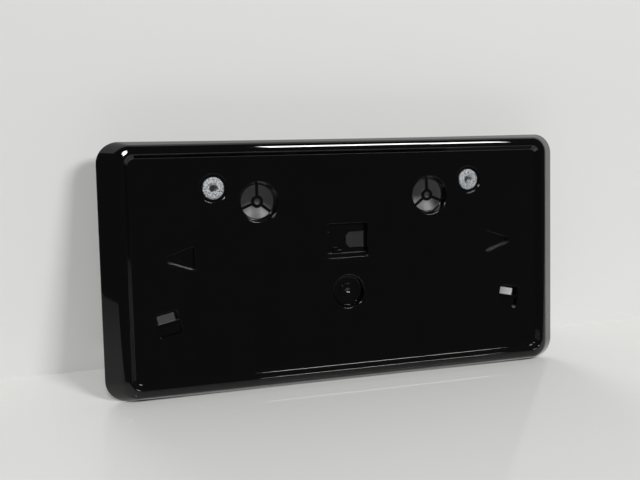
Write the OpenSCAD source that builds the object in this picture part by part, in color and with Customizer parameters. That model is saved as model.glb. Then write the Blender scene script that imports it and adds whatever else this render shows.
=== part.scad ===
// Number plate holder: a shallow moulded tray that a number plate is screwed into.
// Seen from the front, X runs to the right, Z up and Y back, towards the bumper.
// The origin is midway between the two plate screws, on the face that the plate rests on.

/* [Number plate] */
// Width of the number plate
plate_w = 330; // [300:1:360]
// Height of the number plate
plate_h = 165; // [150:1:180]
// Distance between the two plate screws
screw_spacing = 210; // [180:1:240]
// Distance of the screws below the plate's top edge
screw_drop = 23.5; // [20:0.5:28]
// Gap between the plate and the rim at each side
plate_gap_side = 5; // [2:0.5:8]
// Gap between the plate and the rim at the top and bottom
plate_gap_end = 2.5; // [1:0.5:5]

/* [Rim] */
// Width of the rim at the sides
rim_side_w = 5; // [4:0.5:8]
// Width of the rim at the top and bottom
rim_end_w = 6.5; // [5:0.5:9]
// Height of the rim above the plate seat
rim_h = 3.3; // [2:0.1:5]
// Radius of the rim's outer shoulder
rim_round = 3; // [1:0.1:3.5]
// Width of the sloping wall inside the rim
seat_slope_w = 3.3; // [2:0.1:4]
// Radius between the sloping wall and the plate seat
seat_fillet = 1.2; // [0.4:0.1:2]
// Bevel on the rim's inner edge
rim_inner_bevel = 0.7; // [0.2:0.1:1.2]
// Corner radius of the rim, outside
rim_corner_r = 12; // [9:0.5:16]

/* [Skirt] */
// Depth from the rim's front to the skirt's rear edge at the corners
skirt_depth = 12.2; // [10:0.1:16]
// Angle at which the skirt flares out at the sides, from straight back
side_angle = 48.5; // [20:0.5:52]
// Angle at which the skirt flares out at the top and bottom, from straight back
end_angle = 15.5; // [5:0.5:30]
// Corner radius of the skirt's rear edge
skirt_corner_r = 16; // [13:0.5:24]
// Thickness of the skirt
skirt_t = 2.5; // [1.5:0.1:3]
// How much shallower the skirt is in the middle, to follow the bumper's curve
bumper_bow = 2.7; // [0.5:0.1:3]

/* [Back plate] */
// Thickness of the plate seat
floor_t = 2.5; // [1.8:0.1:3]
// Thickness of the stiffening ribs
rib_t = 1.6; // [1:0.1:2.5]
// Gap between the ribs and the bumper
rib_relief = 0.6; // [0.2:0.1:1]
// Rounding of the round recesses' front edges
lip_r = 0.6; // [0.2:0.1:1]
// Wall thickness of the cups and housings behind the plate seat
cup_t = 2; // [1.2:0.1:2.5]

/* [Threaded inserts] */
// Diameter of the insert's flange
insert_flange_d = 16.5; // [14:0.5:18]
// Thickness of the insert's flange
insert_flange_t = 1.2; // [0.8:0.1:1.6]
// Bevel on the flange's outer edge
insert_flange_bevel = 0.5; // [0.2:0.1:0.7]
// Diameter of the insert's body
insert_body_d = 11.5; // [10:0.5:13]
// Length of the insert, flange included
insert_len = 6.3; // [5:0.1:6.4]
// Diameter of the insert's tapped hole
insert_hole_d = 5; // [4.2:0.1:6]
// Bevel at the mouth of the tapped hole
insert_hole_bevel = 0.8; // [0.3:0.1:1.2]
// Width of the groove round the insert's body
insert_groove_w = 1.4; // [0.8:0.1:2]
// Depth of the groove round the insert's body
insert_groove_depth = 0.7; // [0.3:0.1:1]
// Diameter of the round recess that the flange lies in
insert_recess_d = 21; // [19:0.5:24]
// Outer diameter of the boss that holds the insert
insert_boss_d = 19; // [16:0.5:22]
// Gap round the insert in its boss
insert_gap = 0.1; // [0.05:0.05:0.3]

/* [Bumper screw cups] */
// Distance between the two bumper screws
cup_spacing = 141; // [130:1:150]
// Distance of the bumper screws below the plate screws
cup_drop = 11.3; // [9:0.1:13]
// Diameter of the cup's mouth
cup_mouth_d = 30; // [26:0.5:32]
// Diameter of the cup's bottom
cup_bottom_d = 27.4; // [24:0.2:28]
// Depth of the cup below the plate seat
cup_depth = 5; // [3:0.1:5.4]
// Thickness of the cup's bottom
cup_bottom_t = 1.5; // [1:0.1:2]
// Diameter of the hub round the screw
hub_d = 9.6; // [8:0.2:12]
// Diameter of the bumper screw's hole
bumper_screw_d = 4.6; // [3.6:0.2:5.4]
// Width of the spokes that hold the hub
spoke_w = 2.2; // [1.4:0.2:4]
// Width of the ledge left round the cup's bottom
cup_ledge = 0.9; // [0.4:0.1:2]

/* [Centre window] */
// Width of the window
window_w = 33; // [28:0.5:36]
// Height of the window
window_h = 26.4; // [24:0.2:28]
// Height of the window's middle above the plate's middle
window_rise = 15.4; // [12:0.2:17]
// Corner radius of the window
window_corner_r = 1.6; // [0.6:0.1:3]
// Depth of the window's housing behind the plate seat
window_depth = 4.6; // [3.5:0.1:4.8]
// Thickness of the housing's rear wall
window_back_t = 1.4; // [1:0.1:1.6]
// Width of the opening in the rear wall
catch_w = 15; // [12:0.5:16]
// Height of the opening in the rear wall
catch_h = 12; // [9:0.5:14]
// Height of the ledge along the bottom of the window
ledge_h = 3.2; // [2:0.1:4]
// Width of the step at the window's left side
step_w = 2.8; // [2:0.1:4]
// Width of the hook in the window's lower left
hook_w = 6.6; // [5:0.1:7]
// Height of the hook in the window's lower left
hook_h = 4.6; // [3:0.1:5]

/* [Centre recess] */
// Diameter of the round recess under the window
recess_d = 25.6; // [22:0.2:28]
// Diameter of the recess's bottom
recess_bottom_d = 22.4; // [18:0.2:24]
// Depth of the recess
recess_depth = 3.6; // [2:0.1:4]
// Distance of the recess below the plate's middle
recess_fall = 24.5; // [20:0.5:28]
// Diameter of the raised pad in the recess
pad_d = 12; // [9:0.5:14]
// Height of the raised pad in the recess
pad_h = 0.6; // [0.3:0.1:1]
// Diameter of the centring dimple in the pad
dimple_d = 4.6; // [3:0.2:6]
// Depth of the centring dimple in the pad
dimple_depth = 1.2; // [0.6:0.1:1.6]

/* [Side windows] */
// Distance between the two side windows
slot_spacing = 283; // [270:1:290]
// Distance of the side windows below the plate's middle
slot_fall = 38.5; // [34:0.5:44]
// Length of the side window's edges
slot_w = 17.4; // [15:0.2:19]
// Angle at which the side windows are tilted
slot_tilt = 12; // [0:1:20]
// Corner radius of the side windows
slot_corner_r = 2.2; // [1:0.1:4]
// Depth of the side window's housing
slot_depth = 5.2; // [3.5:0.1:5.4]
// Thickness of the housing's rear wall
slot_back_t = 1.4; // [1:0.1:1.6]
// Height of the bar across the side window
slot_bar_h = 1.8; // [1.2:0.1:3]
// How deep the bar lies behind the plate seat
slot_bar_inset = 1; // [0.5:0.1:2]
// How deep the lower step lies behind the plate seat
slot_step_inset = 2.6; // [1.5:0.1:3.4]

/* [Side pointers] */
// Distance between the two pointers' tips
pointer_span = 281; // [270:1:290]
// Length of a pointer
pointer_l = 19.5; // [15:0.5:22]
// Height of a pointer's wide end
pointer_h = 16.7; // [12:0.1:20]
// Height of a pointer's blunt tip
pointer_tip_h = 4.8; // [3:0.1:8]
// Height of a pointer's middle above the plate's middle
pointer_rise = 8.4; // [4:0.2:12]
// Depth of a pointer
pointer_depth = 2.6; // [1.5:0.1:3.2]
// Rounding of a pointer's corners
pointer_corner_r = 1.3; // [0.5:0.1:2]
// Wall left behind a pointer
pointer_back_t = 1.6; // [1.2:0.1:2]

/* [Hidden] */
$fn = 72;

// Length by which a cutter passes the face that it cuts
over = 1;
// Sides of a circle that lies in a hull
hull_sides = 48;
// Thickness of the sheets that a hull is stretched over
sheet_t = 0.01;
// Steps along the rim's round shoulder
shoulder_steps = 5;
// Steps along the fillet round the plate seat
fillet_steps = 3;
// Steps along the bumper's curve, enough to be true to a hundredth
bumper_steps = 32;
// Directions of the right-hand cup's spokes, from +X towards +Z
spoke_angles = [90, 218, 338];
// Places of the upright ribs, as distances from the middle
upright_ribs = [38, 122, 157];
// Places of the level ribs, as heights above the plate's middle
level_ribs = [-62, -8, 31, 59];
// Corner cut on the catch opening's left side
catch_cut = 3;

mid_z = screw_drop - plate_h / 2;
opening_w = plate_w + 2 * plate_gap_side;
opening_h = plate_h + 2 * plate_gap_end;
rim_w = opening_w + 2 * rim_side_w;
rim_l = opening_h + 2 * rim_end_w;
front_y = -rim_h;
rear_y = skirt_depth - rim_h;
cup_x = cup_spacing / 2;
slot_x = slot_spacing / 2;
window_z = mid_z + window_rise;
recess_z = mid_z - recess_fall;
slot_z = mid_z - slot_fall;
pointer_z = mid_z + pointer_rise;

// Half size of the tray at a depth behind the rim's front, where the side slopes at an angle
function shoulder_x(half, angle) = half - rim_round * cos(angle);
function shoulder_end(angle) = rim_round * (1 - sin(angle));
function half_at(half, angle, depth) =
    depth < shoulder_end(angle)
    ? shoulder_x(half, angle) + sqrt(pow(rim_round, 2) - pow(rim_round - depth, 2))
    : half + (depth - shoulder_end(angle)) * tan(angle);
function corner_at(depth) = rim_corner_r + (skirt_corner_r - rim_corner_r) * depth / skirt_depth;

// The bumper's curve, from the skirt's width and the bow across it
skirt_w = 2 * half_at(rim_w / 2, side_angle, skirt_depth);
bumper_r = (pow(skirt_w / 2, 2) + pow(bumper_bow, 2)) / (2 * bumper_bow);
function bumper_at(x) = rear_y - bumper_bow + bumper_r - sqrt(pow(bumper_r, 2) - pow(x, 2));

// Depths at which the outer form is sectioned: round the shoulder, then past the rear edge
outer_depths = concat(
    [for (i = [0 : shoulder_steps]) shoulder_end(end_angle) * (1 - cos(90 * i / shoulder_steps))],
    [shoulder_end(side_angle), skirt_depth + over]
);

// A plain rounded rectangle, upright, with its middle at the origin
module rounded_outline(w, h, r) {
    square([w - 2 * r, h], center = true);
    square([w, h - 2 * r], center = true);
    for (sx = [-1, 1], sz = [-1, 1])
        translate([sx * (w / 2 - r), sz * (h / 2 - r)]) circle(r);
}

// Turns an outline drawn in X and Z into a block from depth y0 to depth y1
module block(y0, y1) {
    translate([0, y1, 0]) rotate([90, 0, 0]) linear_extrude(y1 - y0) children();
}

// A thin rounded sheet with its front face at y, for hulls
module sheet(w, h, r, y) {
    translate([0, y + sheet_t, mid_z]) rotate([90, 0, 0]) linear_extrude(sheet_t)
        rounded_outline(w, h, r, $fn = hull_sides);
}

// Draws a revolved shape with its axis along Y, its profile's height being the depth
module revolved(x, z) {
    translate([x, 0, z]) rotate([-90, 0, 0]) rotate_extrude() children();
}

// The ring that rounds the front edge of a round recess
module lip(x, z, d) {
    revolved(x, z) difference() {
        translate([0, -over]) square([d / 2 + lip_r, lip_r + over]);
        translate([d / 2 + lip_r, lip_r]) circle(lip_r);
    }
}

// The tray's outer form: a round-shouldered rim that flares back into the skirt
module outer_form() {
    hull() for (d = outer_depths)
        sheet(
            2 * half_at(rim_w / 2, side_angle, d),
            2 * half_at(rim_l / 2, end_angle, d),
            corner_at(d),
            front_y + d
        );
}

// The hollow inside the rim, with sloping walls and a fillet down to the plate seat
module seat_hollow() {
    wall_angle = atan(rim_h / seat_slope_w);
    floor_inset = seat_slope_w + seat_fillet * tan(wall_angle / 2);
    hull() {
        seat_sheet(-over * seat_slope_w / rim_h, -over);
        for (i = [0 : fillet_steps]) let (a = wall_angle * i / fillet_steps)
            seat_sheet(floor_inset - seat_fillet * sin(a), rim_h - seat_fillet * (1 - cos(a)));
    }
}

// The bevel on the rim's inner edge
module inner_bevel() {
    steep = 1 + seat_slope_w / rim_h;
    hull() {
        seat_sheet(-rim_inner_bevel - over * steep, -over);
        seat_sheet(rim_inner_bevel * (steep - 1), rim_inner_bevel);
    }
}

// A sheet of the plate opening's outline, drawn in by an inset, with its rear face at a depth
module seat_sheet(inset, depth) {
    sheet(
        opening_w - 2 * inset,
        opening_h - 2 * inset,
        rim_corner_r - rim_side_w - inset / 2,
        front_y + depth - sheet_t
    );
}

// The room behind the plate seat, inside the skirt
module rear_room() {
    side_in = skirt_t / cos(side_angle);
    end_in = skirt_t / cos(end_angle);
    hull() for (y = [floor_t, rear_y + over]) {
        d = y - front_y;
        sheet(
            2 * (half_at(rim_w / 2, side_angle, d) - side_in),
            2 * (half_at(rim_l / 2, end_angle, d) - end_in),
            corner_at(d) - skirt_t,
            y
        );
    }
}

// The bumper's surface: a wide curve that cuts the rear of everything, set back by a relief
module bumper(relief) {
    reach = skirt_w / 2 + 2 * over;
    translate([0, -relief, mid_z]) linear_extrude(2 * rim_l, center = true) polygon(concat(
        [for (i = [0 : bumper_steps]) let (x = reach * (2 * i / bumper_steps - 1)) [x, bumper_at(x)]],
        [[reach, rear_y + skirt_depth], [-reach, rear_y + skirt_depth]]
    ));
}

// Ribs behind the plate seat
module ribs() {
    for (s = [-1, 1], x = upright_ribs)
        translate([s * x - rib_t / 2, 0, mid_z - rim_l / 2]) cube([rib_t, rear_y, rim_l]);
    for (z = level_ribs)
        translate([-skirt_w / 2, 0, mid_z + z - rib_t / 2]) cube([skirt_w, rear_y, rib_t]);
}

// Cups, bosses and housings behind the plate seat, before they are hollowed
module rear_bodies() {
    for (s = [-1, 1]) {
        revolved(s * cup_x, -cup_drop) square([cup_mouth_d / 2 + cup_t, cup_depth + cup_bottom_t]);
        revolved(s * screw_spacing / 2, 0) square([insert_boss_d / 2, insert_len]);
        translate([s * slot_x, 0, slot_z]) rotate([0, s * slot_tilt, 0])
            block(0, slot_depth + slot_back_t)
                rounded_outline(slot_w + 2 * cup_t, slot_w + 2 * cup_t, slot_corner_r + cup_t);
        translate([s * (pointer_span - pointer_l) / 2, 0, pointer_z])
            block(0, pointer_depth + pointer_back_t)
                square([pointer_l + 2 * cup_t, pointer_h + 2 * cup_t], center = true);
    }
    revolved(0, recess_z) square([recess_d / 2 + cup_t, recess_depth + cup_bottom_t]);
    translate([0, 0, window_z]) block(0, window_depth + window_back_t)
        rounded_outline(window_w + 2 * cup_t, window_h + 2 * cup_t, window_corner_r + cup_t);
}

// One bumper screw cup: a drafted round hollow and a bottom with three openings round a hub
module cup_cut(s) {
    revolved(s * cup_x, -cup_drop) polygon([
        [0, -over],
        [cup_mouth_d / 2, -over],
        [cup_mouth_d / 2, 0],
        [cup_bottom_d / 2, cup_depth],
        [0, cup_depth]
    ]);
    lip(s * cup_x, -cup_drop, cup_mouth_d);
    translate([s * cup_x, 0, -cup_drop]) {
        block(cup_depth - over, cup_depth + cup_bottom_t + over) mirror([s < 0 ? 1 : 0, 0]) difference() {
            circle(cup_bottom_d / 2 - cup_ledge);
            circle(hub_d / 2);
            for (a = spoke_angles) rotate(a) translate([0, -spoke_w / 2]) square([cup_mouth_d / 2, spoke_w]);
        }
        translate([0, cup_depth - over, 0]) rotate([-90, 0, 0])
            cylinder(d = bumper_screw_d, h = cup_bottom_t + 2 * over);
    }
}

// The seat of a threaded insert: the recess for its flange and the bore for its body
module insert_cut(s) {
    revolved(s * screw_spacing / 2, 0) translate([0, -over]) square([insert_recess_d / 2, insert_flange_t + over]);
    lip(s * screw_spacing / 2, 0, insert_recess_d);
    translate([s * screw_spacing / 2, 0, 0]) rotate([-90, 0, 0])
        cylinder(d = insert_body_d + 2 * insert_gap, h = insert_len + over);
}

// The centre window: a housing with a ledge, a step, a hook and a catch opening in its rear wall
module window_cut() {
    translate([0, 0, window_z]) {
        difference() {
            block(-over, window_depth) rounded_outline(window_w, window_h, window_corner_r);
            translate([-window_w / 2, window_depth / 3, -window_h / 2]) cube([window_w, window_depth, ledge_h]);
            translate([-window_w / 2, window_depth / 2, -window_h / 4])
                cube([step_w, window_depth, window_h / 2]);
            translate([-window_w / 2 + 2 * step_w, window_depth / 2, ledge_h - window_h / 2])
                difference() {
                    cube([hook_w, window_depth, hook_h]);
                    translate([hook_w / 2, -over, hook_h / 2]) cube([hook_w, window_depth / 4 + over, hook_h]);
                }
        }
        translate([window_w / 2 - catch_w - step_w / 2, 0, 0]) block(0, window_depth + window_back_t + over)
            polygon([
                [catch_cut, -catch_h / 2],
                [catch_w, -catch_h / 2],
                [catch_w, catch_h / 2],
                [catch_cut, catch_h / 2],
                [0, catch_h / 2 - catch_cut],
                [0, catch_cut - catch_h / 2]
            ]);
    }
}

// The round centre recess with its raised pad and centring dimple
module recess_cut() {
    revolved(0, recess_z) polygon([
        [0, -over],
        [recess_d / 2, -over],
        [recess_d / 2, 0],
        [recess_bottom_d / 2, recess_depth],
        [pad_d / 2, recess_depth],
        [pad_d / 2, recess_depth - pad_h],
        [dimple_d / 2, recess_depth - pad_h],
        [0, recess_depth - pad_h + dimple_depth]
    ]);
    lip(0, recess_z, recess_d);
}

// One tilted side window: open above its bar and stepped below it
module slot_cut(s) {
    translate([s * slot_x, 0, slot_z]) rotate([0, s * slot_tilt, 0]) {
        difference() {
            block(-over, slot_depth) rounded_outline(slot_w, slot_w, slot_corner_r);
            translate([-slot_w / 2, slot_bar_inset, -slot_bar_h / 2]) cube([slot_w, slot_depth, slot_bar_h]);
            translate([-slot_w / 2, slot_step_inset, -slot_w / 2]) cube([slot_w, slot_depth, slot_w / 2]);
        }
        block(0, slot_depth + slot_back_t + over) intersection() {
            rounded_outline(slot_w - 2 * slot_bar_h, slot_w - 2 * slot_bar_h, slot_corner_r);
            translate([-slot_w / 2, slot_bar_h / 2]) square([slot_w, slot_w / 2]);
        }
    }
}

// One blunt pointer, sunk into the plate seat with its tip outwards
module pointer_cut(s) {
    r = pointer_corner_r;
    translate([s * pointer_span / 2, 0, pointer_z]) block(-over, pointer_depth) mirror([s < 0 ? 1 : 0, 0])
        hull() {
            for (sz = [-1, 1]) {
                translate([-r, sz * (pointer_tip_h / 2 - r)]) circle(r, $fn = 32);
                translate([r - pointer_l, sz * (pointer_h / 2 - r)]) circle(r, $fn = 32);
            }
        }
}

// The moulded tray in one piece
module holder() {
    color([0.02, 0.02, 0.022]) difference() {
        outer_form();
        seat_hollow();
        inner_bevel();
        difference() {
            rear_room();
            difference() {
                ribs();
                bumper(rib_relief);
            }
            rear_bodies();
        }
        bumper(0);
        for (s = [-1, 1]) {
            cup_cut(s);
            insert_cut(s);
            slot_cut(s);
            pointer_cut(s);
        }
        window_cut();
        recess_cut();
    }
}

// One threaded insert: a bevelled flange on a grooved body with a tapped hole through it
module threaded_insert(s) {
    flange_r = insert_flange_d / 2;
    body_r = insert_body_d / 2;
    hole_r = insert_hole_d / 2;
    groove_y = (insert_flange_t + insert_len - insert_groove_w) / 2;
    revolved(s * screw_spacing / 2, 0) polygon([
        [hole_r + insert_hole_bevel, 0],
        [flange_r - insert_flange_bevel, 0],
        [flange_r, insert_flange_bevel],
        [flange_r, insert_flange_t],
        [body_r, insert_flange_t],
        [body_r, groove_y],
        [body_r - insert_groove_depth, groove_y],
        [body_r - insert_groove_depth, groove_y + insert_groove_w],
        [body_r, groove_y + insert_groove_w],
        [body_r, insert_len],
        [hole_r, insert_len],
        [hole_r, insert_hole_bevel]
    ]);
}

// Both threaded inserts, as two separate solids
module threaded_inserts() {
    color([0.62, 0.63, 0.64]) for (s = [-1, 1]) threaded_insert(s);
}

holder();
threaded_inserts();
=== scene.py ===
"""The looks of a number plate holder: a gloss-black moulded tray and two zinc-plated inserts.

Sizes are in millimetres and become metres when a mesh is made. X runs to the right seen from the
front, Y back towards the bumper and Z up, from midway between the two plate screws.
"""
from math import acos, atan2, cos, pi, radians, sin, sqrt, tan

import bmesh
import bpy
from mathutils import Matrix, Vector


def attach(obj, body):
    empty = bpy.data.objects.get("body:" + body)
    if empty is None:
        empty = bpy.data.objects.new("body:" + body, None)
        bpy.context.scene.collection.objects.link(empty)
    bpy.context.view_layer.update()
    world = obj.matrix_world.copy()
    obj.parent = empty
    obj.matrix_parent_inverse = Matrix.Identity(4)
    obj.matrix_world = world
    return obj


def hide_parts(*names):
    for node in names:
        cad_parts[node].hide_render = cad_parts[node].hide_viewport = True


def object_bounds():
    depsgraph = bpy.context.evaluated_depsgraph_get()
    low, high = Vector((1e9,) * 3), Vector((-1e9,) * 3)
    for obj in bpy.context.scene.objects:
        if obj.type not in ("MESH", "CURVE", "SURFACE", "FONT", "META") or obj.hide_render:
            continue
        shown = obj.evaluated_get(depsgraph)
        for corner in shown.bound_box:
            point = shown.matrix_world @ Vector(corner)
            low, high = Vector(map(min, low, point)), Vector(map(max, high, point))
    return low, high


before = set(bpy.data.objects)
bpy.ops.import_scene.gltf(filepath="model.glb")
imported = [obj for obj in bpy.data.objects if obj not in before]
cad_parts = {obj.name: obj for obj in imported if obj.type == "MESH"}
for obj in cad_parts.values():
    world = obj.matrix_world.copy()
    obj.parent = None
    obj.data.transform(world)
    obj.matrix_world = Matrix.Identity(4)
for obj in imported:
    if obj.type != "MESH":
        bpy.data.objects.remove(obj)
cad_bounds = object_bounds()

# Units and fineness
MM = 0.001
OVER = 1.0
CORNER_STEPS = 22
WIDE_STEPS = 40
TALL_STEPS = 20
ROUND_STEPS = 72
SCREW_HOLE_STEPS = 48
EDGE_STEPS = 4
FILLET_STEPS = 6
CROWN_STEPS = 6
SHOULDER_STEPS = 14
SPOKE_STEPS = 18
LEVEL_RIB_STEPS = 16
FLOOR_FRONT_STEPS = 12

# The corners of a rectangle, anticlockwise
CORNERS = ((1, 1), (-1, 1), (-1, -1), (1, -1))

# Edges over this angle, in degrees, stay crisp
HOLDER_CREASE = 32
INSERT_CREASE = 28

# Rim and skirt
OPENING_HALF = (170.0, 85.0)
RIM_HALF = (175.0, 91.5)
MID_Z = -59.0
RIM_H = 3.3
RIM_ROUND = 3.0
RIM_CROWN = 0.38
RIM_CORNER_R = 12.0
SKIRT_CORNER_R = 16.0
OPENING_CORNER_R = 7.0
SKIRT_DEPTH = 12.2
SIDE_ANGLE = radians(48.5)
END_ANGLE = radians(15.5)
SLOPES = (SIDE_ANGLE, END_ANGLE)
SKIRT_T = 2.5
BUMPER_BOW = 2.7
FLOOR_T = 2.5
REAR_Y = SKIRT_DEPTH - RIM_H
REAR_EDGE_R = 0.4
SKIRT_ROUNDS = 4

# Sloping wall inside the rim
SLOPE_W = 3.3
SEAT_FILLET = 1.2
INNER_BEVEL = 0.3

# Ribs
RIB_T = 1.6
RIB_RELIEF = 0.6
RIB_EDGE = 0.3
RIB_ROOT = 1.2
UPRIGHT_RIBS = (38, 122, 157)
LEVEL_RIBS = (-62, -8, 31, 59)

# Threaded inserts
INSERT_X = 105.0
FLANGE_R = 8.25
FLANGE_T = 1.2
FLANGE_BEVEL = 0.5
BODY_R = 5.75
INSERT_LEN = 6.3
HOLE_R = 2.5
HOLE_BEVEL = 0.8
THREAD_DEPTH = 0.5
THREAD_PITCH = 1.0
THREAD_STEPS = 88
INSERT_STEPS = 96
GROOVE_W = 1.4
GROOVE_DEPTH = 0.7
BODY_BEVEL = 0.3
INSERT_RECESS_R = 10.5
INSERT_BOSS_R = 9.5
INSERT_GAP = 0.1

# Bumper screw cups
CUP_X = 70.5
CUP_Z = -11.3
CUP_MOUTH_R = 15.0
CUP_BOTTOM_R = 13.7
CUP_DEPTH = 5.0
CUP_BOTTOM_T = 1.5
CUP_OPEN_R = 12.8
HUB_R = 4.8
CUP_OPEN_EDGE = 0.2
BUMPER_SCREW_R = 2.3
BUMPER_SCREW_EDGE = 0.3
SPOKE_W = 2.2
SPOKE_ANGLES = (90, 218, 338)
CUP_T = 2.0
LIP_R = 0.6

# Centre window and recess
WINDOW_Z = MID_Z + 15.4
WINDOW_HALF = (16.5, 13.2)
WINDOW_CORNER_R = 1.6
WINDOW_DEPTH = 4.6
WINDOW_BACK_T = 1.4
LEDGE_H = 3.2
STEP_W = 2.8
STEP_ROOT = 0.8
HOOK_LEFT = 5.6
HOOK_RIGHT = 8.9
HOOK_BOTTOM = 2.4
HOOK_TOP = 7.8
HOOK_FOOT_RIGHT = 12.2
HOOK_FOOT_TOP = 5.5
CATCH_LEFT = 0.1
CATCH_RIGHT = 15.1
CATCH_HALF_H = 6.0
CATCH_CUT = 3.0
CATCH_R = 0.3
RECESS_Z = MID_Z - 24.5
RECESS_R = 12.8
RECESS_BOTTOM_R = 11.2
RECESS_DEPTH = 3.6
PAD_R = 6.0
PAD_H = 0.6
DIMPLE_R = 2.3
DIMPLE_DEPTH = 1.2

# Side windows and pointers
POCKET_EDGE = 0.3
SLOT_X = 141.5
SLOT_Z = MID_Z - 38.5
SLOT_HALF = 8.7
SLOT_CORNER_R = 2.2
SLOT_TILT = 12
SLOT_DEPTH = 5.2
SLOT_BACK_T = 1.4
SLOT_BAR_H = 1.8
SLOT_BAR_INSET = 1.0
SLOT_STEP_INSET = 2.6
SLOT_OPEN_INSET = 1
SLOT_OPEN_R = 0.6
POINTER_X = 140.5
POINTER_Z = MID_Z + 8.4
POINTER_L = 19.5
POINTER_H = 16.7
POINTER_TIP_H = 4.8
POINTER_DEPTH = 2.6
POINTER_R = 1.3
POINTER_BACK_T = 1.6

SKIRT_HALF_W = RIM_HALF[0] + (SKIRT_DEPTH - RIM_ROUND * (1 - sin(SIDE_ANGLE))) * tan(SIDE_ANGLE)
BUMPER_R = (SKIRT_HALF_W ** 2 + BUMPER_BOW ** 2) / (2 * BUMPER_BOW)


# Forms shared by the pieces

def skirt_half(axis, depth):
    """Half width (axis 0) or height (axis 1) of the skirt at a depth behind the rim's front."""
    angle = SLOPES[axis]
    return RIM_HALF[axis] + (depth - RIM_ROUND * (1 - sin(angle))) * tan(angle)


def shoulder_of(axis):
    """The round from the rim's crown to the skirt: its start, first slope, radius and end depth."""
    angle = SLOPES[axis]
    start = RIM_HALF[axis] - RIM_ROUND * cos(angle)
    slope = atan2(2 * RIM_CROWN, start - OPENING_HALF[axis] - INNER_BEVEL)
    run = skirt_half(axis, RIM_CROWN) - start
    radius = run / (cos(angle) - sin(slope) - (cos(slope) - sin(angle)) * tan(angle))
    return start, slope, radius, RIM_CROWN + radius * (cos(slope) - sin(angle))


SHOULDERS = (shoulder_of(0), shoulder_of(1))


def shoulder_half(axis, depth):
    """Half width or half height of the tray at a depth on its shoulder or skirt."""
    start, slope, radius, end = SHOULDERS[axis]
    if depth > end:
        return skirt_half(axis, depth)
    return start + radius * (sin(acos(cos(slope) - (depth - RIM_CROWN) / radius)) - sin(slope))


def corner_at(depth):
    """Corner radius of the tray's outside at a depth behind the rim's front."""
    return RIM_CORNER_R + (SKIRT_CORNER_R - RIM_CORNER_R) * depth / SKIRT_DEPTH


def bumper_at(x):
    """Where the bumper's curve lies at a distance from the middle."""
    return REAR_Y - BUMPER_BOW + BUMPER_R - sqrt(BUMPER_R ** 2 - x ** 2)


def outline_steps():
    """Steps round a rounded rectangle: shares of the way to a corner's centre, and a direction."""
    steps = []
    for i, (cx, cz) in enumerate(CORNERS):
        nx, nz = CORNERS[(i + 1) % 4]
        turn = radians(90 * (i + 1))
        for k in range(CORNER_STEPS + 1):
            angle = radians(90 * (i + k / CORNER_STEPS))
            steps.append((cx, cz, cos(angle), sin(angle)))
        run = WIDE_STEPS if i % 2 == 0 else TALL_STEPS
        for k in range(1, run):
            share = k / run
            steps.append((cx + share * (nx - cx), cz + share * (nz - cz), cos(turn), sin(turn)))
    return steps


OUTLINE = outline_steps()


def on_outline(step, half_w, half_h, r):
    """The point of a rounded rectangle at one step, in X and Z, from its middle."""
    cx, cz, dx, dz = step
    return cx * (half_w - r) + r * dx, cz * (half_h - r) + r * dz


def level_ring(half_w, half_h, r, y):
    """A rounded rectangle round the tray's middle, all at one depth."""
    points = [on_outline(step, half_w, half_h, r) for step in OUTLINE]
    return [(x, y, MID_Z + z) for x, z in points]


def seat_ring(inset, depth):
    """The plate opening's outline drawn in by an inset, at a depth behind the rim's front."""
    half_w, half_h = OPENING_HALF
    return level_ring(half_w - inset, half_h - inset, OPENING_CORNER_R - inset / 2, depth - RIM_H)


def skirt_ring(side_in, end_in, corner_in, setback, start_y=0.0, share=1.0):
    """A ring of the skirt, part of the way from a depth to the bumper's curve.

    Depth and width depend on each other there, so each point is found in a few rounds.
    """
    ring = []
    for step in OUTLINE:
        y = REAR_Y
        for _ in range(SKIRT_ROUNDS):
            depth = y + RIM_H
            x, z = on_outline(
                step,
                skirt_half(0, depth) - side_in,
                skirt_half(1, depth) - end_in,
                corner_at(depth) - corner_in,
            )
            y = start_y + share * (bumper_at(x) - setback - start_y)
        ring.append((x, y, MID_Z + z))
    return ring


def rounded_polygon(centres, r):
    """The outline round circles of one radius at the corners of a convex polygon, anticlockwise."""
    points = []
    count = len(centres)
    for i, (x, z) in enumerate(centres):
        px, pz = centres[i - 1]
        nx, nz = centres[(i + 1) % count]
        start = atan2(z - pz, x - px) - pi / 2
        end = atan2(nz - z, nx - x) - pi / 2
        while end < start:
            end += 2 * pi
        for k in range(EDGE_STEPS + 1):
            angle = start + (end - start) * k / EDGE_STEPS
            points.append((x + r * cos(angle), z + r * sin(angle)))
    return points


def corners_of(half_w, half_h, r):
    """Corner circle centres of a rounded rectangle, anticlockwise."""
    return [(sx * (half_w - r), sz * (half_h - r)) for sx, sz in CORNERS]


def placed(points, y, x=0.0, z=0.0, tilt=0.0):
    """Puts a flat outline at a depth, turned clockwise seen from the front by a tilt in degrees."""
    c, s = cos(radians(tilt)), sin(radians(tilt))
    return [(x + px * c + pz * s, y, z - px * s + pz * c) for px, pz in points]


def loft(name, rings):
    """A closed mesh through rings of equal count, with a flat cap at each end."""
    bm = bmesh.new()
    rows = [[bm.verts.new(Vector(p) * MM) for p in ring] for ring in rings]
    for a, b in zip(rows, rows[1:]):
        for i in range(len(a)):
            bm.faces.new((a[i - 1], a[i], b[i], b[i - 1]))
    bm.faces.new(rows[0])
    bm.faces.new(list(reversed(rows[-1])))
    bmesh.ops.recalc_face_normals(bm, faces=bm.faces)
    mesh = bpy.data.meshes.new(name)
    bm.to_mesh(mesh)
    bm.free()
    obj = bpy.data.objects.new(name, mesh)
    bpy.context.scene.collection.objects.link(obj)
    return obj


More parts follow.
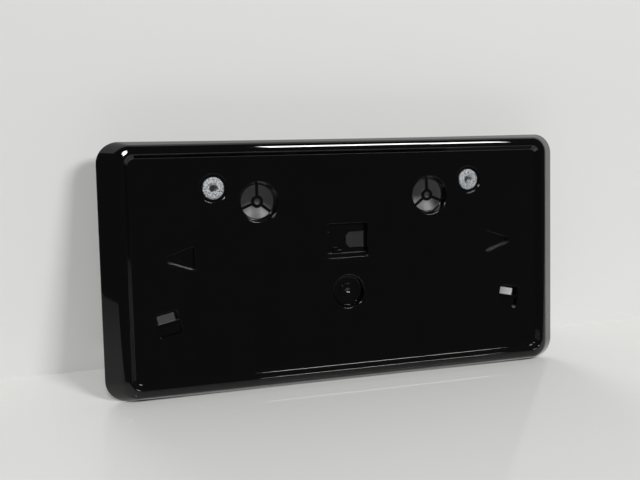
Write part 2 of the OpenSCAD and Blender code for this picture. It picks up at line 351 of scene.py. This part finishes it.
def lathe(name, x, z, profile, count=ROUND_STEPS):
    """A closed turned form with its axis along Y, from a profile of radii and depths."""
    turns = [2 * pi * k / count for k in range(count)]
    return loft(name, [[(x + r * cos(a), y, z + r * sin(a)) for a in turns] for r, y in profile])


def arc(centre, r, start, end, steps=EDGE_STEPS):
    """Points along a circle's arc, its angles in degrees."""
    span = [radians(start + (end - start) * k / steps) for k in range(steps + 1)]
    return [(centre[0] + r * cos(a), centre[1] + r * sin(a)) for a in span]


def mouth(r, edge):
    """A profile that comes down past the seat and rounds the edge of a hole."""
    return [(r + edge, -OVER)] + arc((r + edge, edge), edge, 270, 180)


def stacked(name, centres, r, levels, **place):
    """A closed form from rounded polygons, each grown by a little and put at a depth."""
    outlines = [(rounded_polygon(centres, r + grow), y) for grow, y in levels]
    return loft(name, [placed(outline, y, **place) for outline, y in outlines])


def pocket(name, centres, r, depth, edge, draft=0.15, fillet=0.3, **place):
    """A cutter for a moulded pocket with a rounded edge, drafted walls and a filleted bottom."""
    levels = [(edge, -OVER)] + arc((edge, edge), edge, 270, 180)
    levels += arc((-draft - fillet, depth - fillet), fillet, 0, 90)
    return stacked(name, centres, r, levels, **place)


def through(name, centres, r, y0, y1, edge=0.2, **place):
    """A cutter for an opening through a rear wall, with its front edge broken."""
    levels = [(edge, y0 - OVER), (edge, y0), (0, y0 + edge), (0, y1 + OVER)]
    return stacked(name, centres, r, levels, **place)


def rear_block(name, centres, r, y1, edge=0.5, **place):
    """A housing behind the plate seat, with its rear edge rounded."""
    levels = [(0, FLOOR_T / 2)] + arc((-edge, y1 - edge), edge, 0, 90)
    return stacked(name, centres, r, levels, **place)


def step_block(name, x0, x1, y0, y1, z0, z1, edge=0.25, **place):
    """A step inside a window, with the edges of its front broken."""
    middle = ((x0 + x1) / 2, (z0 + z1) / 2)
    half_w, half_h = (x1 - x0) / 2, (z1 - z0) / 2
    levels = [(0, y0), (edge, y0 + edge), (edge, y1)]
    rings = []
    for grow, y in levels:
        w, h = half_w - edge + grow, half_h - edge + grow
        corners = [(middle[0] + x, middle[1] + z) for x, z in corners_of(w, h, 0)]
        rings.append(placed(corners, y, **place))
    return loft(name, rings)


def combine(base, tools, operation):
    """Adds closed forms to a closed form, or cuts them out of it, and removes them."""
    group = bpy.data.collections.new("tools")
    bpy.context.scene.collection.children.link(group)
    for tool in tools:
        group.objects.link(tool)
    cut = base.modifiers.new("combine", "BOOLEAN")
    cut.operation = operation
    cut.operand_type = "COLLECTION"
    cut.collection = group
    cut.solver = "EXACT"
    bpy.context.view_layer.update()
    result = base.evaluated_get(bpy.context.evaluated_depsgraph_get())
    base_mesh = base.data
    base.data = bpy.data.meshes.new_from_object(result)
    base.modifiers.clear()
    bpy.data.meshes.remove(base_mesh)
    for tool in tools:
        bpy.data.meshes.remove(tool.data)
    bpy.data.collections.remove(group)


def smooth(obj, angle):
    """Smooth shading with edges over an angle kept crisp, and flat faces kept flat."""
    obj.data.shade_smooth()
    obj.data.set_sharp_from_angle(angle=radians(angle))
    flat = obj.modifiers.new("flat faces", "WEIGHTED_NORMAL")
    flat.keep_sharp = True
    flat.weight = 80


# The moulded tray

def tray():
    """The rim, skirt and back plate, before its holes and ribs."""
    wall = atan2(RIM_H, SLOPE_W)
    floor_inset = SLOPE_W + SEAT_FILLET * tan(wall / 2)
    rings = []
    # The fillet round the plate seat
    for k in range(FILLET_STEPS + 1):
        a = wall * k / FILLET_STEPS
        depth = RIM_H - SEAT_FILLET * (1 - cos(a))
        rings.append(seat_ring(floor_inset - SEAT_FILLET * sin(a), depth))
    # The rounded edge between the sloping wall and the rim's face
    for k in range(FILLET_STEPS + 1):
        t = k / FILLET_STEPS
        inset = INNER_BEVEL * (SLOPE_W / RIM_H * (1 - t) ** 2 - t ** 2)
        rings.append(seat_ring(inset, INNER_BEVEL * (1 - t) ** 2))
    # The rim's slightly crowned face
    for k in range(1, CROWN_STEPS):
        share = k / CROWN_STEPS
        half_w, half_h = (
            edge + INNER_BEVEL + share * (shoulder[0] - edge - INNER_BEVEL)
            for edge, shoulder in zip(OPENING_HALF, SHOULDERS)
        )
        r = OPENING_CORNER_R + share * (corner_at(RIM_CROWN) - OPENING_CORNER_R)
        rings.append(level_ring(half_w, half_h, r, RIM_CROWN * share ** 2 - RIM_H))
    # Its round shoulder
    slope, radius, end_depth = SHOULDERS[1][1:]
    turns = [
        slope + (pi / 2 - END_ANGLE - slope) * k / SHOULDER_STEPS for k in range(SHOULDER_STEPS + 1)
    ]
    depths = [RIM_CROWN + radius * (cos(slope) - cos(a)) for a in turns]
    for depth in sorted(depths + [SHOULDERS[0][3]]):
        rings.append(level_ring(
            shoulder_half(0, depth), shoulder_half(1, depth), corner_at(depth), depth - RIM_H,
        ))
    # The skirt, its rear edge and its inside
    start_y = end_depth - RIM_H
    for share in (0.25, 0.5, 0.75):
        rings.append(skirt_ring(0, 0, 0, 0, start_y, share))
    side_in = SKIRT_T / cos(SIDE_ANGLE)
    end_in = SKIRT_T / cos(END_ANGLE)
    for grow, y in arc((REAR_EDGE_R, REAR_EDGE_R), REAR_EDGE_R, 180, 270):
        rings.append(skirt_ring(grow, grow, grow, y))
    for grow, y in arc((-REAR_EDGE_R, REAR_EDGE_R), REAR_EDGE_R, 270, 360):
        rings.append(skirt_ring(side_in + grow, end_in + grow, SKIRT_T + grow, y))
    rings.append(skirt_ring(side_in, end_in, SKIRT_T, 0, FLOOR_T, 0.5))
    depth = FLOOR_T + RIM_H
    rings.append(level_ring(
        skirt_half(0, depth) - side_in,
        skirt_half(1, depth) - end_in,
        corner_at(depth) - SKIRT_T,
        FLOOR_T,
    ))
    return loft("holder_moulding", rings)


def rib(name, points):
    """A rib along a line of points, each with its foot and its top, and its top edges broken."""
    half_t = RIB_T / 2
    edge = RIB_EDGE
    rings = []
    for along_foot, along_top, across, foot_y, top_y, upright in points:
        section = [
            (-half_t, foot_y), (-half_t, top_y - edge), (edge - half_t, top_y),
            (half_t - edge, top_y), (half_t, top_y - edge), (half_t, foot_y),
        ]
        ring = []
        for side, y in section:
            along = along_foot if y == foot_y else along_top
            ring.append((across + side, y, along) if upright else (along, y, across + side))
        rings.append(ring)
    return loft(name, rings)


def ribs():
    """The upright and level ribs, which run into the skirt and end short of the bumper."""
    pieces = []
    foot_y = FLOOR_T / 2
    for sx in (-1, 1):
        for distance in UPRIGHT_RIBS:
            x = sx * distance
            top_y = bumper_at(x) - RIB_RELIEF
            ends = []
            for sz in (-1, 1):
                foot, top = (
                    skirt_half(1, y + RIM_H) - SKIRT_T / cos(END_ANGLE) + RIB_ROOT
                    for y in (foot_y, top_y)
                )
                ends.append((MID_Z + sz * foot, MID_Z + sz * top, x, foot_y, top_y, True))
            pieces.append(rib("upright_rib", ends))
    for rise in LEVEL_RIBS:
        line = []
        for k in range(-LEVEL_RIB_STEPS, LEVEL_RIB_STEPS + 1):
            share = k / LEVEL_RIB_STEPS
            top_y = bumper_at(share * SKIRT_HALF_W) - RIB_RELIEF
            foot, top = (
                skirt_half(0, y + RIM_H) - SKIRT_T / cos(SIDE_ANGLE) + RIB_ROOT
                for y in (foot_y, top_y)
            )
            line.append((share * foot, share * top, MID_Z + rise, foot_y, top_y, False))
        pieces.append(rib("level_rib", line))
    return pieces


def rear_bodies():
    """Cups, bosses and housings behind the plate seat, before they are hollowed."""
    edge = 0.5

    def turned(name, x, z, r, y1):
        return lathe(name, x, z, [(r, FLOOR_T / 2)] + arc((r - edge, y1 - edge), edge, 0, 90))

    window = WINDOW_CORNER_R + CUP_T
    slot = SLOT_CORNER_R + CUP_T
    pieces = [
        turned("recess_body", 0, RECESS_Z, RECESS_R + CUP_T, RECESS_DEPTH + CUP_BOTTOM_T),
        rear_block(
            "window_body",
            corners_of(WINDOW_HALF[0] + CUP_T, WINDOW_HALF[1] + CUP_T, window),
            window, WINDOW_DEPTH + WINDOW_BACK_T, z=WINDOW_Z,
        ),
    ]
    for s in (-1, 1):
        pieces += [
            turned("cup_body", s * CUP_X, CUP_Z, CUP_MOUTH_R + CUP_T, CUP_DEPTH + CUP_BOTTOM_T),
            turned("insert_boss", s * INSERT_X, 0, INSERT_BOSS_R, INSERT_LEN),
            rear_block(
                "slot_body",
                corners_of(SLOT_HALF + CUP_T, SLOT_HALF + CUP_T, slot),
                slot, SLOT_DEPTH + SLOT_BACK_T, x=s * SLOT_X, z=SLOT_Z, tilt=s * SLOT_TILT,
            ),
            rear_block(
                "pointer_body",
                corners_of(POINTER_L / 2 + CUP_T, POINTER_H / 2 + CUP_T, POINTER_R),
                POINTER_R, POINTER_DEPTH + POINTER_BACK_T,
                x=s * (POINTER_X - POINTER_L / 2), z=POINTER_Z,
            ),
        ]
    return pieces


def hollows():
    """Cutters for the cups, insert seats, windows, pointers and the recess."""
    pieces = []
    fillet = 0.4
    for s in (-1, 1):
        cup = mouth(CUP_MOUTH_R, LIP_R)
        cup += arc((CUP_BOTTOM_R - fillet, CUP_DEPTH - fillet), fillet, 0, 90)
        pieces.append(lathe("cup", s * CUP_X, CUP_Z, cup))
        seat = mouth(INSERT_RECESS_R, LIP_R)
        seat += [(INSERT_RECESS_R, FLANGE_T), (BODY_R + INSERT_GAP, FLANGE_T)]
        seat += [(BODY_R + INSERT_GAP, INSERT_LEN + OVER)]
        pieces.append(lathe("insert_seat", s * INSERT_X, 0, seat))
        pieces.append(pocket(
            "slot", corners_of(SLOT_HALF, SLOT_HALF, SLOT_CORNER_R), SLOT_CORNER_R,
            SLOT_DEPTH, POCKET_EDGE, x=s * SLOT_X, z=SLOT_Z, tilt=s * SLOT_TILT,
        ))
        tip, wide = -POINTER_R, POINTER_R - POINTER_L
        tip_z, wide_z = POINTER_TIP_H / 2 - POINTER_R, POINTER_H / 2 - POINTER_R
        centres = [(s * tip, tip_z), (s * wide, wide_z), (s * wide, -wide_z), (s * tip, -tip_z)]
        pieces.append(pocket(
            "pointer", centres if s > 0 else centres[::-1], POINTER_R,
            POINTER_DEPTH, POCKET_EDGE, x=s * POINTER_X, z=POINTER_Z,
        ))
    pieces.append(pocket(
        "window", corners_of(*WINDOW_HALF, WINDOW_CORNER_R), WINDOW_CORNER_R,
        WINDOW_DEPTH, POCKET_EDGE, z=WINDOW_Z,
    ))
    pad_y = RECESS_DEPTH - PAD_H
    recess = mouth(RECESS_R, LIP_R)
    recess += arc((RECESS_BOTTOM_R - fillet, RECESS_DEPTH - fillet), fillet, 0, 90)
    recess += [(PAD_R + 0.1, RECESS_DEPTH), (PAD_R, RECESS_DEPTH - 0.1)]
    recess += arc((PAD_R - 0.2, pad_y + 0.2), 0.2, 0, -90, 3)
    recess += [(DIMPLE_R + 0.15, pad_y), (DIMPLE_R, pad_y + 0.1), (0.05, pad_y + DIMPLE_DEPTH)]
    pieces.append(lathe("recess", 0, RECESS_Z, recess))
    return pieces


def steps_in_windows():
    """The ledge, step and hook of the centre window, and the bars and steps of the side windows."""
    half_w, half_h = WINDOW_HALF
    into = STEP_ROOT
    back = WINDOW_DEPTH + into
    pieces = [
        step_block(
            "ledge", -half_w - into, half_w + into, WINDOW_DEPTH / 3, back,
            -half_h - into, LEDGE_H - half_h, z=WINDOW_Z,
        ),
        step_block(
            "window_step", -half_w - into, STEP_W - half_w, WINDOW_DEPTH / 2, back,
            -half_h / 2, half_h / 2, z=WINDOW_Z,
        ),
        step_block(
            "hook", HOOK_LEFT - half_w, HOOK_RIGHT - half_w, WINDOW_DEPTH / 2, back,
            HOOK_BOTTOM - half_h, HOOK_TOP - half_h, z=WINDOW_Z,
        ),
        step_block(
            "hook_foot", HOOK_LEFT - half_w, HOOK_FOOT_RIGHT - half_w, WINDOW_DEPTH / 2, back,
            HOOK_BOTTOM - half_h, HOOK_FOOT_TOP - half_h, z=WINDOW_Z,
        ),
    ]
    for s in (-1, 1):
        place = {"x": s * SLOT_X, "z": SLOT_Z, "tilt": s * SLOT_TILT}
        pieces += [
            step_block(
                "slot_bar", -SLOT_HALF - into, SLOT_HALF + into, SLOT_BAR_INSET, SLOT_DEPTH + into,
                -SLOT_BAR_H / 2, SLOT_BAR_H / 2, **place,
            ),
            step_block(
                "slot_step", -SLOT_HALF - into, SLOT_HALF + into,
                SLOT_STEP_INSET, SLOT_DEPTH + into, -SLOT_HALF - into, 0, **place,
            ),
        ]
    return pieces


def sector(start, end, grow):
    """One opening of a cup's bottom, between two spokes, grown outwards by a little."""
    outer, inner = CUP_OPEN_R + grow, HUB_R - grow
    half = SPOKE_W / 2 - grow
    points = []
    for r, forward in ((outer, True), (inner, False)):
        gap = half / r
        first, last = radians(start) + gap, radians(end) - gap
        span = [first + (last - first) * k / SPOKE_STEPS for k in range(SPOKE_STEPS + 1)]
        points += [(r * cos(a), r * sin(a)) for a in (span if forward else span[::-1])]
    return points


def openings():
    """Cutters for what goes right through: the cups' bottoms, the catch and the side windows."""
    pieces = []
    y0, y1 = CUP_DEPTH, CUP_DEPTH + CUP_BOTTOM_T
    for s in (-1, 1):
        for i, start in enumerate(SPOKE_ANGLES):
            end = SPOKE_ANGLES[(i + 1) % 3] + (360 if i == 2 else 0)
            rings = []
            edge = CUP_OPEN_EDGE
            for grow, y in ((edge, y0 - OVER), (edge, y0), (0, y0 + edge), (0, y1 + OVER)):
                flat = sector(start, end, grow)
                rings.append(placed([(s * px, pz) for px, pz in flat], y, s * CUP_X, CUP_Z))
            pieces.append(loft("cup_opening", rings))
        r, edge = BUMPER_SCREW_R, BUMPER_SCREW_EDGE
        hole = [(r + edge, y0 - OVER), (r + edge, y0), (r, y0 + edge), (r, y1 + OVER)]
        pieces.append(lathe("screw_hole", s * CUP_X, CUP_Z, hole, SCREW_HOLE_STEPS))
        half = SLOT_HALF - SLOT_BAR_H
        reach, low = half - SLOT_OPEN_INSET, SLOT_BAR_H / 2 + SLOT_OPEN_R
        pieces.append(through(
            "slot_opening", [(reach, reach), (-reach, reach), (-reach, low), (reach, low)],
            SLOT_OPEN_R, SLOT_DEPTH, SLOT_DEPTH + SLOT_BACK_T,
            x=s * SLOT_X, z=SLOT_Z, tilt=s * SLOT_TILT,
        ))
    left, right, half_h = CATCH_LEFT, CATCH_RIGHT, CATCH_HALF_H
    cut, r = CATCH_CUT, CATCH_R
    catch = [
        (right - r, half_h - r), (left + cut, half_h - r), (left + r, half_h - cut),
        (left + r, cut - half_h), (left + cut, r - half_h), (right - r, r - half_h),
    ]
    pieces.append(through(
        "catch", catch, r, WINDOW_DEPTH, WINDOW_DEPTH + WINDOW_BACK_T, z=WINDOW_Z,
    ))
    return pieces


def holder_piece():
    """The whole moulding."""
    piece = tray()
    combine(piece, ribs() + rear_bodies(), "UNION")
    combine(piece, hollows(), "DIFFERENCE")
    combine(piece, steps_in_windows(), "UNION")
    combine(piece, openings(), "DIFFERENCE")
    smooth(piece, HOLDER_CREASE)
    return piece


# The threaded inserts

def insert_mesh(bm, x):
    """One insert: a bevelled flange, a grooved body and a thread cut into its hole."""
    count = INSERT_STEPS
    soft = 0.12
    outer = [(HOLE_R + HOLE_BEVEL + soft, 0.0), (FLANGE_R - FLANGE_BEVEL - soft, 0.0)]
    outer += [(FLANGE_R - FLANGE_BEVEL, 0.04), (FLANGE_R - 0.05, FLANGE_BEVEL - 0.05)]
    outer += [(FLANGE_R, FLANGE_BEVEL + soft), (FLANGE_R, FLANGE_T), (BODY_R, FLANGE_T)]
    groove = (FLANGE_T + INSERT_LEN) / 2 - GROOVE_W / 2
    outer += [(BODY_R, groove), (BODY_R - GROOVE_DEPTH, groove)]
    outer += [(BODY_R - GROOVE_DEPTH, groove + GROOVE_W), (BODY_R, groove + GROOVE_W)]
    outer += [(BODY_R, INSERT_LEN - BODY_BEVEL), (BODY_R - BODY_BEVEL, INSERT_LEN)]
    outer += [(HOLE_R + THREAD_DEPTH, INSERT_LEN)]
    thread = [
        INSERT_LEN - (INSERT_LEN - HOLE_BEVEL) * k / THREAD_STEPS for k in range(THREAD_STEPS + 1)
    ]
    mouth_profile = [(HOLE_R + HOLE_BEVEL - 0.06, 0.06), (HOLE_R + HOLE_BEVEL, 0.02)]

    def thread_r(y, turn):
        """The hole's radius in the thread, which runs out at the bevel."""
        phase = (y / THREAD_PITCH - turn / (2 * pi)) % 1
        wave = min(1.0, max(0.0, 1.25 * (1 - abs(2 * phase - 1))))
        fade = min(1.0, max(0.0, (y - HOLE_BEVEL) / 0.3))
        return HOLE_R + THREAD_DEPTH * wave * fade

    rows = []
    turns = [2 * pi * k / count for k in range(count)]
    for r, y in outer:
        rows.append([(r, y, a) for a in turns])
    for y in thread[1:]:
        rows.append([(thread_r(y, a), y, a) for a in turns])
    for r, y in mouth_profile:
        rows.append([(r, y, a) for a in turns])
    made = [
        [bm.verts.new(Vector((x + r * cos(a), y, r * sin(a))) * MM) for r, y, a in row]
        for row in rows
    ]
    for p, q in zip(made, made[1:] + made[:1]):
        for i in range(count):
            bm.faces.new((p[i - 1], p[i], q[i], q[i - 1]))


def insert_piece():
    """Both threaded inserts, as two separate forms in one piece."""
    bm = bmesh.new()
    for s in (-1, 1):
        insert_mesh(bm, s * INSERT_X)
    bmesh.ops.recalc_face_normals(bm, faces=bm.faces)
    mesh = bpy.data.meshes.new("threaded_inserts_zinc")
    bm.to_mesh(mesh)
    bm.free()
    piece = bpy.data.objects.new("threaded_inserts_zinc", mesh)
    bpy.context.scene.collection.objects.link(piece)
    smooth(piece, INSERT_CREASE)
    return piece


# Materials, with colours in linear light

GLOSS_BLACKS = ((0.0009, 0.0009, 0.001), (0.0014, 0.0014, 0.0016))
DUST = (0.18, 0.18, 0.17)
# The dull back's black is painted lighter than the gloss black. This is painted light, so that the
# back reads as lit.
DULL_BLACK_PAINTED_LIGHTER = (0.018, 0.018, 0.019)
ZINCS = ((0.1, 0.11, 0.12), (0.72, 0.74, 0.76))


class Paint:
    """A node material with a Principled shader, built up by short calls."""

    def __init__(self, name):
        self.material = bpy.data.materials.new(name)
        self.material.use_nodes = True
        self.nodes = self.material.node_tree.nodes
        self.links = self.material.node_tree.links
        self.shader = self.nodes["Principled BSDF"]
        self.place = self.nodes.new("ShaderNodeTexCoord").outputs["Object"]

    def link(self, source, target):
        self.links.new(source, target)

    def noise(self, scale, detail=2.0, roughness=0.5, stretch=None):
        node = self.nodes.new("ShaderNodeTexNoise")
        node.inputs["Scale"].default_value = scale
        node.inputs["Detail"].default_value = detail
        node.inputs["Roughness"].default_value = roughness
        place = self.place
        if stretch:
            mapping = self.nodes.new("ShaderNodeMapping")
            mapping.inputs["Scale"].default_value = stretch
            self.link(place, mapping.inputs["Vector"])
            place = mapping.outputs["Vector"]
        self.link(place, node.inputs["Vector"])
        return node.outputs["Fac"]

    def spots(self, scale, radius):
        """Small round spots, one in each cell of a Voronoi pattern, soft at their edge."""
        node = self.nodes.new("ShaderNodeTexVoronoi")
        node.inputs["Scale"].default_value = scale
        self.link(self.place, node.inputs["Vector"])
        return self.between(node.outputs["Distance"], radius, radius * 0.5, 0.0, 1.0)

    def between(self, source, low, high, to_low, to_high):
        node = self.nodes.new("ShaderNodeMapRange")
        node.inputs["From Min"].default_value = low
        node.inputs["From Max"].default_value = high
        node.inputs["To Min"].default_value = to_low
        node.inputs["To Max"].default_value = to_high
        self.link(source, node.inputs["Value"])
        return node.outputs["Result"]

    def sum(self, a, b, operation="ADD"):
        node = self.nodes.new("ShaderNodeMath")
        node.operation = operation
        for socket, value in zip(node.inputs, (a, b)):
            if isinstance(value, float):
                socket.default_value = value
            else:
                self.link(value, socket)
        return node.outputs["Value"]

    def mixed(self, factor, first, second, kind="RGBA"):
        """A mix of two colours or two numbers, each written out or taken from another node."""
        node = self.nodes.new("ShaderNodeMix")
        node.data_type = kind
        self.link(factor, node.inputs["Factor"])
        for name, value in (("A", first), ("B", second)):
            if isinstance(value, tuple):
                node.inputs[name].default_value = (*value, 1)
            else:
                self.link(value, node.inputs[name])
        return node.outputs["Result"]

    def bump(self, height, distance, strength=1.0, base=None):
        node = self.nodes.new("ShaderNodeBump")
        node.inputs["Distance"].default_value = distance
        node.inputs["Strength"].default_value = strength
        self.link(height, node.inputs["Height"])
        if base is not None:
            self.link(base, node.inputs["Normal"])
        return node.outputs["Normal"]

    def facing_back(self):
        """How far a surface faces back, from -1 to 1."""
        node = self.nodes.new("ShaderNodeSeparateXYZ")
        self.link(self.nodes.new("ShaderNodeTexCoord").outputs["Normal"], node.inputs["Vector"])
        return node.outputs["Y"]


def black_moulding():
    """Polished gloss-black plastic with a faint ripple, fine scuffs and dust, and a dull back. The
    back's black is painted lighter than the gloss, painted light that makes it read as lit.
    """
    paint = Paint("gloss_black_moulding")
    shader = paint.shader
    shader.inputs["IOR"].default_value = 1.5
    back = paint.between(paint.facing_back(), -0.02, -0.005, 0.0, 1.0)
    grain = paint.noise(1400, 3)
    cloud = paint.noise(38, 3)
    scuffs = paint.between(paint.noise(260, 4, 0.7, (0.12, 1.0, 1.0)), 0.62, 0.74, 0.0, 1.0)
    dust = paint.spots(420, 0.07)
    tint = paint.mixed(cloud, *GLOSS_BLACKS)
    dusty = paint.mixed(paint.sum(dust, 0.1, "MULTIPLY"), tint, DUST)
    # Faces turned back or sideways take the dull finish and a lighter black. The lighter black is
    # painted light.
    paint.link(paint.mixed(back, dusty, DULL_BLACK_PAINTED_LIGHTER), shader.inputs["Base Color"])
    polish = paint.between(cloud, 0.3, 0.7, 0.02, 0.04)
    polish = paint.sum(polish, paint.sum(scuffs, 0.03, "MULTIPLY"))
    dull = paint.between(grain, 0.2, 0.8, 0.3, 0.42)
    paint.link(paint.mixed(back, polish, dull, "FLOAT"), shader.inputs["Roughness"])
    ripple = paint.bump(paint.noise(120, 2), 0.00002, 0.25)
    etched = paint.bump(paint.sum(grain, back, "MULTIPLY"), 0.00003, 0.6, ripple)
    paint.link(etched, shader.inputs["Normal"])
    return paint.material


def zinc():
    """Zinc plating on turned steel, grainy and slightly uneven."""
    paint = Paint("zinc_plating")
    shader = paint.shader
    shader.inputs["Metallic"].default_value = 1.0
    grain = paint.noise(2600, 3, 0.6)
    flecks = paint.between(paint.noise(1000, 3, 0.6), 0.42, 0.58, 0.0, 1.0)
    paint.link(paint.mixed(flecks, *ZINCS), shader.inputs["Base Color"])
    paint.link(paint.between(grain, 0.25, 0.75, 0.28, 0.5), shader.inputs["Roughness"])
    lumps = paint.bump(paint.noise(900, 3, 0.6), 0.0002, 0.9)
    paint.link(paint.bump(grain, 0.00004, 0.6, lumps), shader.inputs["Normal"])
    return paint.material


# Camera, stage and lights

CAMERA_AT = (-0.271082, -0.68704, 0.02535)
CAMERA_TURN = (
    (0.939615, 0.052842, -0.338129),
    (-0.341474, 0.078982, -0.936567),
    (-0.022784, 0.995475, 0.092257),
)
LENS_MM = 54
SENSOR_MM = 36
CLIP_START = 0.01


def add_camera():
    """The photograph's view, from the left and slightly above."""
    data = bpy.data.cameras.new("camera")
    data.lens = LENS_MM
    data.sensor_width = SENSOR_MM
    data.clip_start = CLIP_START
    camera = bpy.data.objects.new("camera", data)
    camera.matrix_world = Matrix.Translation(CAMERA_AT) @ Matrix(CAMERA_TURN).to_4x4()
    bpy.context.scene.collection.objects.link(camera)
    bpy.context.scene.camera = camera


LEAN = radians(11.5)
STAGE_REACH = 1.6
WALL_BACK = 0.0605
WALL_TOP = 0.7
FLOOR_FRONT = -0.2
FLOOR_REAR = 0.9
FRONT_ROUND = 0.05
FLOOR_PAINT = (0.67, 0.67, 0.655)
FLOOR_ROUGHNESS = 0.05
WALL_PAINT = (0.72, 0.725, 0.71)
WALL_ROUGHNESS = 0.6
STAGE_SHINE = 0.15
MOTTLE = 0.985

LAMP_TARGET = (0, 0, -0.06)
# Each lamp's name, place, width, height and power
LAMPS = (
    ("softbox_middle", (0.735, -1.73, 0.84), 0.46, 0.30, 17.5),
    ("softbox_right", (1.12, -1.73, 0.84), 0.24, 0.30, 8),
    ("softbox_left", (-0.5, -1.7, 0.8), 0.3, 0.30, 18.5),
    ("back_light", (-0.3, 1.5, 1.2), 1.2, 0.9, 14),
)
ROOM_COLOUR = (0.75, 0.76, 0.78, 1)
ROOM_STRENGTH = 0.09


def stage_material(name, colour, roughness, one_sided):
    """Pale paint with a faint mottle. A one-sided surface neither hides nor shades from behind."""
    paint = Paint(name)
    mottle = paint.noise(9, 3)
    darker = tuple(c * MOTTLE for c in colour)
    paint.link(paint.mixed(mottle, colour, darker), paint.shader.inputs["Base Color"])
    paint.shader.inputs["Roughness"].default_value = roughness
    paint.shader.inputs["Specular IOR Level"].default_value = STAGE_SHINE
    paint.link(paint.bump(paint.noise(240, 3), 0.0002, 0.05), paint.shader.inputs["Normal"])
    if one_sided:
        clear = paint.nodes.new("ShaderNodeBsdfTransparent")
        side = paint.nodes.new("ShaderNodeNewGeometry")
        path = paint.nodes.new("ShaderNodeLightPath")
        hidden = paint.sum(side.outputs["Backfacing"], path.outputs["Is Shadow Ray"], "MAXIMUM")
        mix = paint.nodes.new("ShaderNodeMixShader")
        paint.link(hidden, mix.inputs["Fac"])
        paint.link(paint.shader.outputs["BSDF"], mix.inputs[1])
        paint.link(clear.outputs["BSDF"], mix.inputs[2])
        paint.link(mix.outputs["Shader"], paint.nodes["Material Output"].inputs["Surface"])
    return paint.material


def sheet_along_x(name, profile, material):
    """A stage surface from a profile in Y and Z, drawn out along X."""
    mesh = bpy.data.meshes.new(name)
    verts = [(s * STAGE_REACH, y, z) for y, z in profile for s in (-1, 1)]
    faces = [(2 * i, 2 * i + 1, 2 * i + 3, 2 * i + 2) for i in range(len(profile) - 1)]
    mesh.from_pydata(verts, [], faces)
    mesh.materials.append(material)
    mesh.shade_smooth()
    obj = bpy.data.objects.new(name, mesh)
    bpy.context.scene.collection.objects.link(obj)


def on_stage(back, up):
    """Y and Z of a point of the stage, from how far behind the foot and above the floor it lies.

    The object leans back a little against the wall, so the stage is turned forward about its foot.
    """
    foot_y, foot_z = cad_bounds[1][1], cad_bounds[0][2]
    return foot_y + back * cos(LEAN) - up * sin(LEAN), foot_z + back * sin(LEAN) + up * cos(LEAN)


def add_stage():
    """A pale floor with a rounded front edge, and a pale wall behind the object."""
    front = arc((FLOOR_FRONT, -FRONT_ROUND), FRONT_ROUND, 180, 90, FLOOR_FRONT_STEPS)
    floor = [on_stage(back, up) for back, up in front + [(FLOOR_REAR, 0.0)]]
    floor_paint = stage_material("pale_floor", FLOOR_PAINT, FLOOR_ROUGHNESS, False)
    sheet_along_x("floor", floor, floor_paint)
    wall = [on_stage(WALL_BACK, 0.0), on_stage(WALL_BACK, WALL_TOP)]
    wall_paint = stage_material("pale_wall", WALL_PAINT, WALL_ROUGHNESS, True)
    sheet_along_x("wall", wall, wall_paint)


def add_lamp(name, place, target, width, height, power):
    """A soft rectangular lamp that points at a target and isn't seen itself."""
    data = bpy.data.lights.new(name, "AREA")
    data.shape = "RECTANGLE"
    data.size = width
    data.size_y = height
    data.energy = power
    lamp = bpy.data.objects.new(name, data)
    turn = (Vector(target) - Vector(place)).to_track_quat("-Z", "Y")
    lamp.matrix_world = Matrix.Translation(place) @ turn.to_matrix().to_4x4()
    lamp.visible_camera = False
    bpy.context.scene.collection.objects.link(lamp)


def add_lights():
    """Three softboxes in front and above, a large soft lamp behind, and a dim, even room."""
    for name, place, width, height, power in LAMPS:
        add_lamp(name, place, LAMP_TARGET, width, height, power)
    world = bpy.data.worlds.new("room")
    world.use_nodes = True
    room = world.node_tree.nodes["Background"]
    room.inputs["Color"].default_value = ROOM_COLOUR
    room.inputs["Strength"].default_value = ROOM_STRENGTH
    bpy.context.scene.world = world


add_camera()
add_stage()
add_lights()

holder = holder_piece()
holder.data.materials.clear()
holder.data.materials.append(black_moulding())
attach(holder, "root")
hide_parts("holder")

inserts = insert_piece()
inserts.data.materials.append(zinc())
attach(inserts, "root")
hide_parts("threaded_inserts")

bpy.context.scene.view_settings.view_transform = "Standard"
